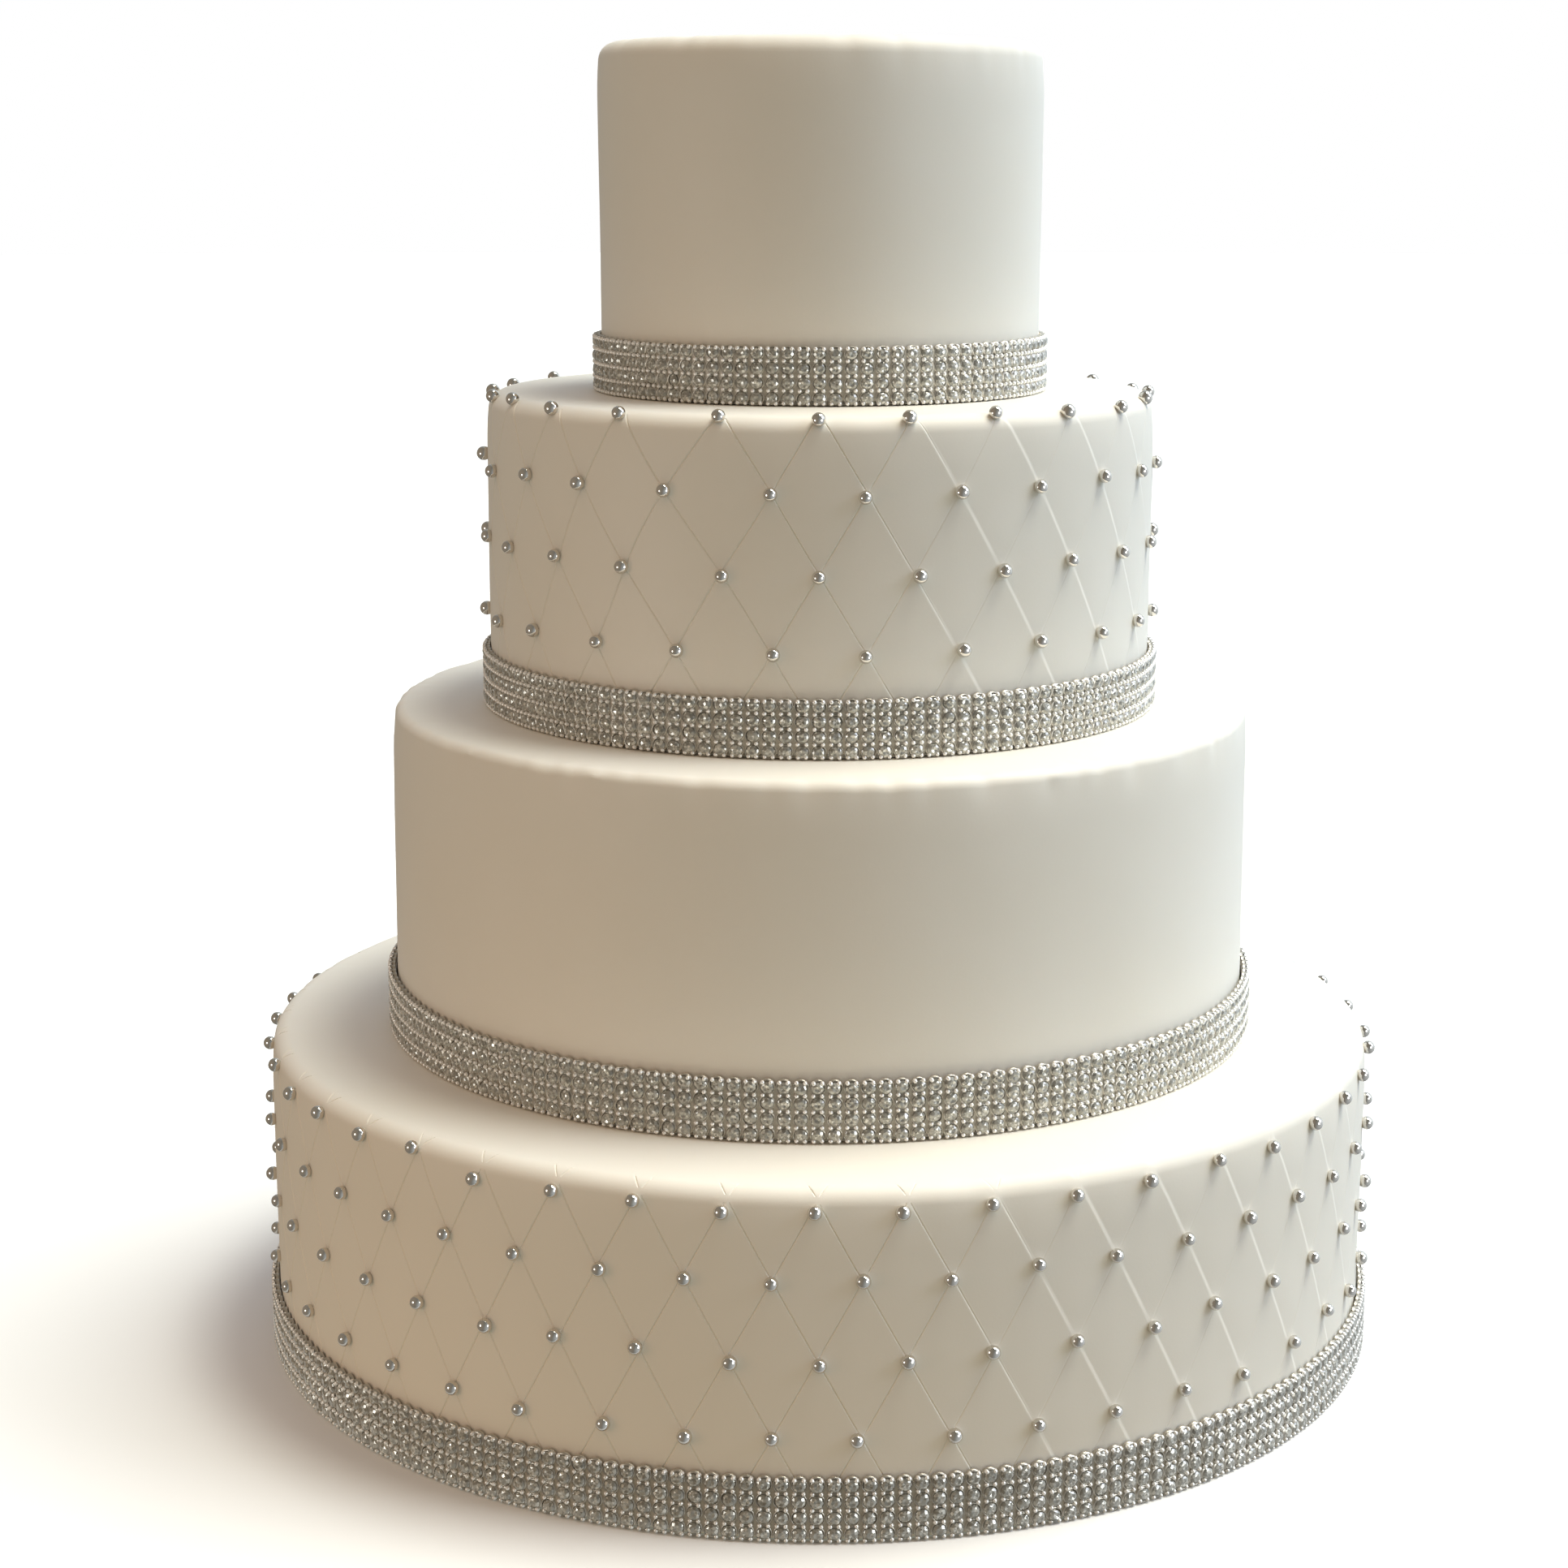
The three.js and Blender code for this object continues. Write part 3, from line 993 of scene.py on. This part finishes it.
def add_surroundings():
    """A pale backdrop for the camera, and a dim room, cool on its far side, which lights the cake.

    What is glossy mirrors a room of its own, warm on the left, and brighter on the right and behind.
    """
    world = bpy.data.worlds.new("studio")
    world.use_nodes = True
    bpy.context.scene.world = world
    tree = world.node_tree
    tree.nodes.clear()
    way = add_node(tree, "ShaderNodeTexCoord").outputs["Generated"]
    ray = add_node(tree, "ShaderNodeLightPath").outputs
    lighting = add_glow(tree, way, direction(150, 25), 2.0, (0.48, 0.72, 1.12), (0.25, 0.282, 0.264))
    warm_side = add_glow(tree, way, direction(-80, 10), 1.0, (0.1, 0.055, 0.02), (0.2, 0.195, 0.175))
    bright_side = add_glow(tree, way, direction(75, -15), 1.5, (0.36, 0.4, 0.45), warm_side)
    mirrored = add_glow(tree, way, direction(140, 20), 3.0, (0.75, 0.85, 0.93), bright_side)
    room = add_node(
        tree, "ShaderNodeMix", {"Factor": ray["Is Glossy Ray"], MIX_A: lighting, MIX_B: mirrored},
        data_type="RGBA",
    )
    seen = add_node(
        tree, "ShaderNodeMix",
        {"Factor": ray["Is Camera Ray"], MIX_A: room.outputs[MIX_RESULT], MIX_B: opaque(linear("FFFFFF"))},
        data_type="RGBA",
    )
    shine = add_node(tree, "ShaderNodeBackground", {"Color": seen.outputs[MIX_RESULT], "Strength": 1.0})
    add_node(tree, "ShaderNodeOutputWorld", {"Surface": shine.outputs[0]})


def add_floor(settings):
    """A plain pale floor, which catches shadows but throws no light back at the cake."""
    material, tree = new_material("matt_studio_floor")
    place = add_node(tree, "ShaderNodeTexCoord").outputs["Object"]
    mottle = add_node(tree, "ShaderNodeTexNoise", {"Vector": place, "Scale": 9.0, "Detail": 2.0})
    polish = add_node(
        tree, "ShaderNodeMapRange", {"Value": mottle.outputs["Fac"], "To Min": 0.85, "To Max": 0.95}
    )
    shader = add_node(
        tree, "ShaderNodeBsdfPrincipled",
        {"Base Color": opaque(settings.floor), "Roughness": polish.outputs[0], "Specular IOR Level": 0.1},
    )
    add_node(tree, "ShaderNodeOutputMaterial", {"Surface": shader.outputs[0]})
    form = bmesh.new()
    bmesh.ops.create_circle(form, cap_ends=True, segments=96, radius=12.0)
    mesh = bpy.data.meshes.new("floor")
    form.to_mesh(mesh)
    form.free()
    mesh.materials.append(material)
    floor = bpy.data.objects.new("floor", mesh)
    floor.visible_diffuse = False
    floor.visible_glossy = False
    bpy.context.scene.collection.objects.link(floor)


def add_lights():
    """Daylight from high and low on the right, a warm fill, and lamps that show as glints in the silver."""
    add_daylight("high_window", direction(106, 66), 32.0, 2.8, (1.0, 0.99, 0.88))
    add_daylight("low_window", direction(85, 30), 30.0, 0.94, (0.72, 0.78, 0.95))
    fills = (
        add_daylight("ceiling", direction(-33, 55), 90.0, 0.47, (1.0, 0.36, 0.02)),
        add_softbox("warm_wall", direction(-56, -5), 1.0, 0.42, 0.83, (1.0, 0.54, 0.31)),
        add_underlight("table_bounce", 1.0, 0.5 * MM, 0.41, (1.0, 0.53, 0.05)),
    )
    for fill in fills:
        fill.visible_glossy = False
    margin = 45 * MM
    table_width = 2 * TIERS[0].radius + margin
    glints = (
        add_softbox("left_lamp", direction(-56, 0), 1.0, 0.3, 1.05, (1.0, 0.98, 0.95)),
        add_softbox("right_lamp", direction(50, 2), 1.1, 0.42, 2.9, (0.97, 1.0, 1.0)),
        add_underlight("table_glint", table_width, 2.0 * MM, 0.14, (1.0, 0.98, 0.94)),
    )
    for glint in glints:
        glint.visible_diffuse = False


def add_camera(settings):
    """The camera, a little below the level of the cake's top and looking slightly down."""
    lens = bpy.data.cameras.new("camera")
    lens.sensor_width = 36.0
    lens.lens = settings.lens
    camera = bpy.data.objects.new("camera", lens)
    camera.location = settings.camera_place
    camera.rotation_euler = (math.pi / 2 - settings.camera_pitch, 0.0, settings.camera_turn)
    bpy.context.scene.collection.objects.link(camera)
    bpy.context.scene.camera = camera


# ---------------------------------------------------------------- operators


class CAKE_OT_fondant(bpy.types.Operator):
    """Build the icing of the four tiers"""

    bl_idname = "cake.fondant"
    bl_label = "Fondant tiers"

    def execute(self, context):
        settings = context.scene.cake_fondant
        material = rolled_fondant(settings)
        for tier in TIERS:
            fondant_tier(tier, settings, material)
        return {"FINISHED"}


class CAKE_OT_dragees(bpy.types.Operator):
    """Set a silver dragee on each crossing of the quilting"""

    bl_idname = "cake.dragees"
    bl_label = "Silver dragees"

    def execute(self, context):
        settings = context.scene.cake_dragees
        material = silvered_sugar(settings)
        for tier in TIERS:
            if tier.diamonds:
                dragee_balls(tier, settings, material)
        return {"FINISHED"}


class CAKE_OT_bands(bpy.types.Operator):
    """Wrap a band of rhinestones round the foot of each tier"""

    bl_idname = "cake.bands"
    bl_label = "Rhinestone bands"

    def execute(self, context):
        settings = context.scene.cake_bands
        crystal = foiled_crystal(settings)
        silver = plated_silver("silver_plated_cups", settings.cups, 0.4, 0.8)
        # the prongs' whiter, less metallic silver is a painted highlight
        tips = plated_silver("prong_silver_painted_highlight", settings.prongs, 0.36, 0.45)
        netting = netting_ribbon(settings)
        for tier in TIERS:
            crystals(tier, crystal)
            cups(tier, silver)
            prongs(tier, tips)
            ribbon(tier, netting)
        return {"FINISHED"}


class CAKE_OT_stage(bpy.types.Operator):
    """Set up the floor, the lights and the camera"""

    bl_idname = "cake.stage"
    bl_label = "Stage"

    def execute(self, context):
        settings = context.scene.cake_stage
        add_surroundings()
        add_floor(settings)
        add_lights()
        add_camera(settings)
        context.scene.view_settings.view_transform = "Standard"
        return {"FINISHED"}


class CAKE_PT_sidebar(bpy.types.Panel):
    """Lists what the cake is built from"""

    bl_label = "Tiered Wedding Cake"
    bl_idname = "CAKE_PT_sidebar"
    bl_space_type = "VIEW_3D"
    bl_region_type = "UI"
    bl_category = "Cake"

    def draw(self, context):
        for operator in OPERATORS:
            self.layout.operator(operator.bl_idname)


OPERATORS = (CAKE_OT_fondant, CAKE_OT_dragees, CAKE_OT_bands, CAKE_OT_stage)
SETTINGS = {
    "cake_fondant": FondantSettings,
    "cake_dragees": DrageeSettings,
    "cake_bands": BandSettings,
    "cake_stage": StageSettings,
}


def register():
    for group in (*SETTINGS.values(), *OPERATORS, CAKE_PT_sidebar):
        bpy.utils.register_class(group)
    for name, group in SETTINGS.items():
        setattr(bpy.types.Scene, name, bpy.props.PointerProperty(type=group))


def unregister():
    for name in SETTINGS:
        delattr(bpy.types.Scene, name)
    for group in reversed((*SETTINGS.values(), *OPERATORS, CAKE_PT_sidebar)):
        bpy.utils.unregister_class(group)


def main():
    register()
    bpy.ops.cake.fondant()
    bpy.ops.cake.dragees()
    bpy.ops.cake.bands()
    bpy.ops.cake.stage()


if __name__ == "__main__":
    main()
